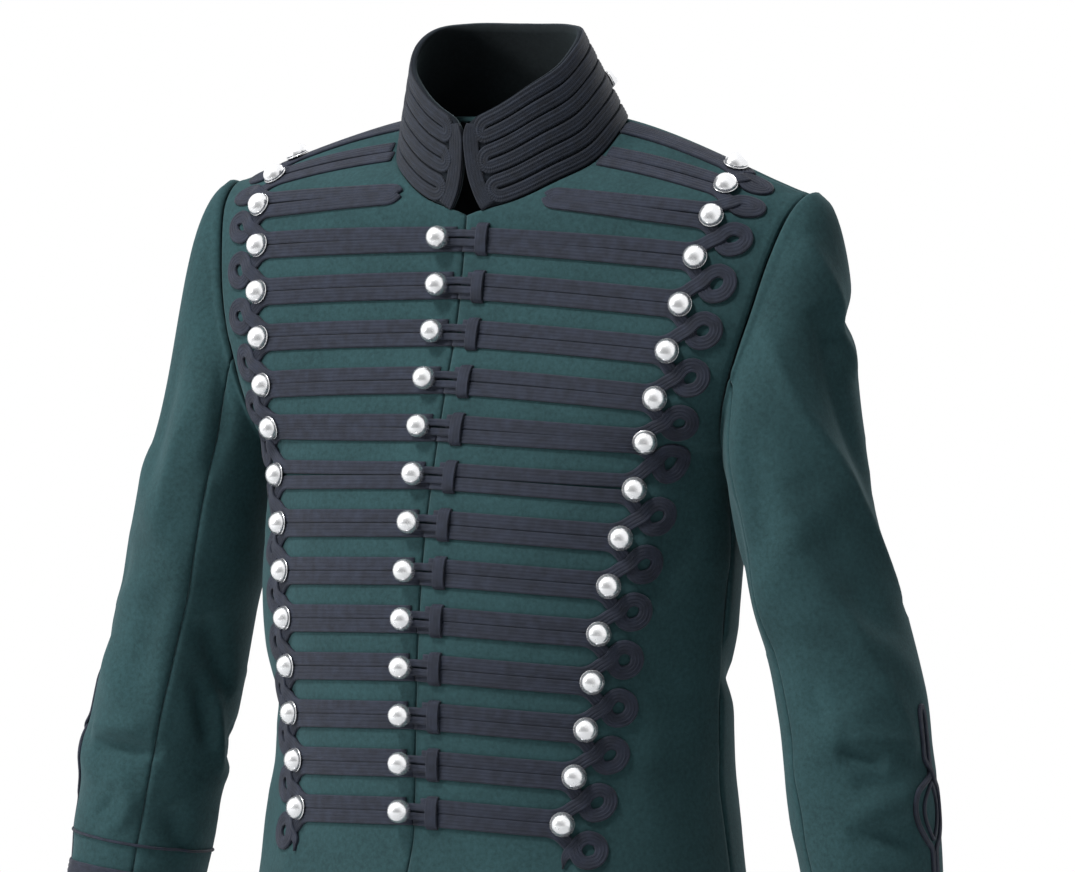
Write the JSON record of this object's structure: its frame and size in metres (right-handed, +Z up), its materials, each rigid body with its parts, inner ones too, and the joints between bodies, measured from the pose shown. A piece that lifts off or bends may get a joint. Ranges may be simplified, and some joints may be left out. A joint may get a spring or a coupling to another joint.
{
  "type": "napoleon jacket",
  "caption": "Short dark green wool jacket in nineteenth-century hussar style, worn form: stand collar, braided frogging across the chest, domed metal buttons, knotted cuffs.",
  "frame": {"origin": "the nape: the middle of the collar's seam at the back of the neck", "axes": "+X to the wearer's left, -Y to the wearer's front, +Z up along the body"},
  "size_m": [0.708, 0.2617, 0.7003],
  "materials": {
    "wool": "matt fulled wool",
    "braid": "fine ribbed braid",
    "button": "polished"
  },
  "bodies": {
    "root": {"front_left": "wool", "front_right": "wool", "back": "wool", "collar": "braid", "sleeve_upper_left": "wool", "sleeve_under_left": "wool", "frogging_left": "braid", "cuff_braid_left": "braid", "sleeve_upper_right": "wool", "sleeve_under_right": "wool", "frogging_right": "braid", "cuff_braid_right": "braid", "button_left_01": "button", "button_left_02": "button", "button_left_03": "button", "button_left_04": "button", "button_left_05": "button", "button_left_06": "button", "button_left_07": "button", "button_left_08": "button", "button_left_09": "button", "button_left_10": "button", "button_left_11": "button", "button_left_12": "button", "button_left_13": "button", "button_left_14": "button", "button_left_15": "button", "button_left_16": "button", "button_right_01": "button", "button_right_02": "button", "button_right_03": "button", "button_right_04": "button", "button_right_05": "button", "button_right_06": "button", "button_right_07": "button", "button_right_08": "button", "button_right_09": "button", "button_right_10": "button", "button_right_11": "button", "button_right_12": "button", "button_right_13": "button", "button_right_14": "button", "button_right_15": "button", "button_right_16": "button", "button_collar_left": "button", "button_collar_right": "button", "button_front_01": "button", "button_front_02": "button", "button_front_03": "button", "button_front_04": "button", "button_front_05": "button", "button_front_06": "button", "button_front_07": "button", "button_front_08": "button", "button_front_09": "button", "button_front_10": "button", "button_front_11": "button", "button_front_12": "button", "button_front_13": "button"}
  },
  "joints": []
}
